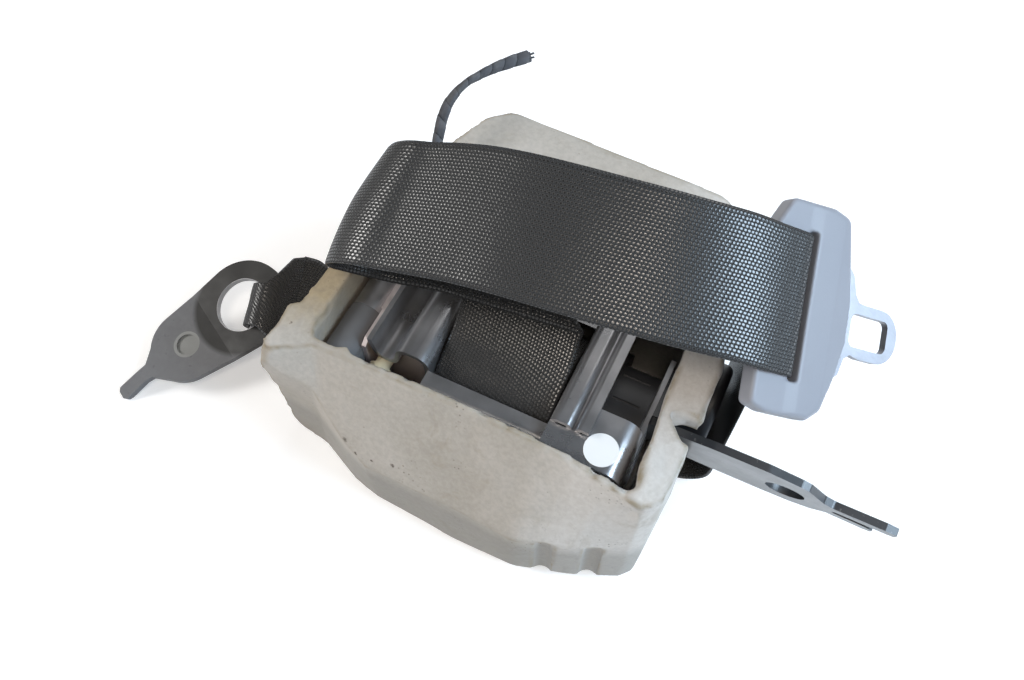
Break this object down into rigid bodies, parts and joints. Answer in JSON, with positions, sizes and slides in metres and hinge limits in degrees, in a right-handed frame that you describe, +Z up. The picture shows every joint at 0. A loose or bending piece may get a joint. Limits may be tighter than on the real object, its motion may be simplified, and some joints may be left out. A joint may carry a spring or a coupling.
{
  "type": "seat belt retractor",
  "caption": "Rear seat belt: spring retractor in a moulded foam cover, with webbing, tongue, eye plate, bolt bracket and a cut taped lead.",
  "frame": {"origin": "centre of the bracket's bolt hole at the plate's front face", "axes": "+X along the spool's axle from the cover towards the bracket, +Z up through the cover's opening, -Y the cover's rounded front"},
  "size_m": [0.322, 0.177, 0.1541],
  "materials": {
    "foam": "matt moulded foam",
    "black_steel": "glossy black",
    "black_bracket": "satin black",
    "rivet_steel": "satin",
    "white_plastic": "satin",
    "black_plastic": "satin",
    "spring_steel": "bright",
    "zinc": "cast",
    "generator_steel": "satin",
    "cream_plastic": "satin",
    "grey_plastic": "matt",
    "tape": "cloth tape",
    "sticker": "satin paper",
    "webbing": "woven",
    "spool_metal": "cast",
    "ball_steel": "polished",
    "tongue_steel": "bright",
    "blue_grey_plastic": "satin",
    "dark_steel": "satin",
    "light_plastic": "satin"
  },
  "bodies": {
    "cover": {"foam_cover": "foam", "retractor_frame": "black_steel", "mounting_bracket": "black_bracket", "rivet_upper": "rivet_steel", "rivet_lower": "rivet_steel", "bush_left": "white_plastic", "bush_right": "white_plastic", "pawl_pin": "rivet_steel", "lock_cover": "black_plastic", "spring_cassette": "black_plastic", "cassette_lid": "black_plastic", "rewind_spring": "spring_steel", "sensor_can": "black_plastic", "sensor_seat": "white_plastic", "pretensioner_casting": "zinc", "gas_generator": "generator_steel", "generator_collar": "cream_plastic", "igniter_plug": "grey_plastic", "lead_sleeve": "black_plastic", "taped_lead": "tape", "round_sticker": "sticker", "webbing_top": "webbing", "webbing_lap": "webbing"},
    "spool": {"spool_core": "spool_metal", "wound_webbing": "webbing", "torsion_bar": "spring_steel", "ratchet_wheel": "spring_steel", "spring_arbor": "white_plastic", "drive_ring": "zinc"},
    "pawl": {"locking_pawl": "spring_steel"},
    "ball": {"sensor_ball": "ball_steel"},
    "lever": {"sensor_lever": "white_plastic"},
    "tongue": {"tongue_plate": "tongue_steel", "tongue_moulding": "blue_grey_plastic"},
    "eye": {"eye_plate": "dark_steel", "eye_plug": "light_plastic"}
  },
  "joints": [
    {"name": "spool_spin", "type": "hinge", "parent": "cover", "child": "spool", "pos_m": [-0.108, -0.0025, -0.003], "axis": [1, 0, 0], "continuous": true},
    {"name": "pawl_swing", "type": "hinge", "parent": "cover", "child": "pawl", "pos_m": [-0.081, 0.01685, -0.02526], "axis": [1, 0, 0], "range_deg": [0, 6.5]},
    {"name": "ball_rise", "type": "slide", "parent": "cover", "child": "ball", "axis": [0, 0.9397, 0.342], "range_m": [0, 0.001]},
    {"name": "lever_lift", "type": "hinge", "parent": "cover", "child": "lever", "pos_m": [-0.04365, 0.0125, 0.001], "axis": [1, 0, 0], "range_deg": [0, 5]},
    {"name": "tongue_swivel", "type": "hinge", "parent": "cover", "child": "tongue", "pos_m": [-0.02766, 0.02976, 0.06972], "axis": [-0.2315, 0.8821, 0.4103], "range_deg": [-40, 4]},
    {"name": "eye_swivel", "type": "hinge", "parent": "cover", "child": "eye", "pos_m": [-0.2343, -0.00605, -0.03016], "axis": [-0.2518, 0.9301, 0.2675], "range_deg": [0, 40]}
  ],
  "couplings": [
    {"joint": "lever_lift", "follows": "ball_rise", "rad_per_m": 83}
  ]
}
